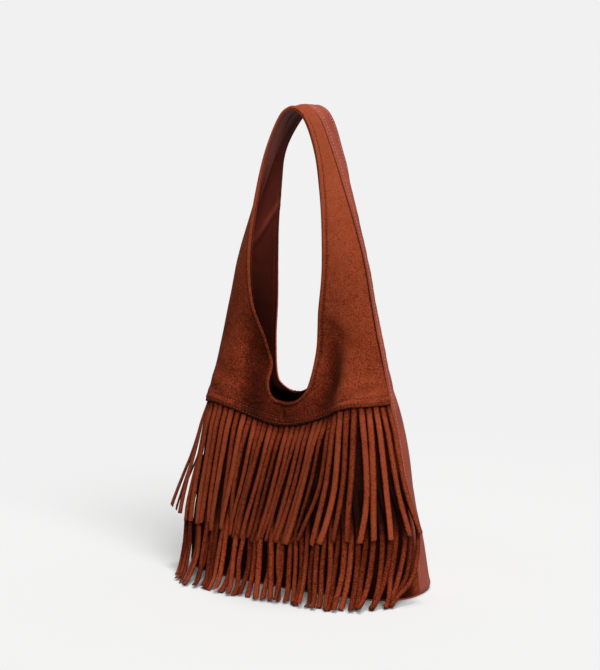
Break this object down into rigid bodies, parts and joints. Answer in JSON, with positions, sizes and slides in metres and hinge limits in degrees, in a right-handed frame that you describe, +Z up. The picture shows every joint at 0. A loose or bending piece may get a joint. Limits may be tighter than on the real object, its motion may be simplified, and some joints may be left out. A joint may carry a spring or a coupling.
{
  "type": "fringed suede bag",
  "caption": "Slouchy shoulder bag with a suede front that carries tiers of cut fringe, a smooth leather back, and a wide strap cut in one with the body.",
  "frame": {"origin": "middle of the base panel's underside, on the floor", "axes": "+Z up to the strap, +X to the viewer's right when the fringed front is seen, -Y out of the fringed front"},
  "size_m": [0.292, 0.17, 0.49],
  "materials": {
    "suede": "matte brushed suede",
    "smooth_leather": "satin smooth leather",
    "lining": "satin thin leather",
    "board": "matte pressed board"
  },
  "bodies": {
    "root": {"base_panel": "smooth_leather", "base_board": "board", "base_lining": "lining", "front_panel": "suede", "front_yoke": "suede", "back_panel": "smooth_leather", "front_lining": "lining", "back_lining": "lining", "upper_fringe": "suede", "lower_fringe": "suede"}
  },
  "joints": []
}
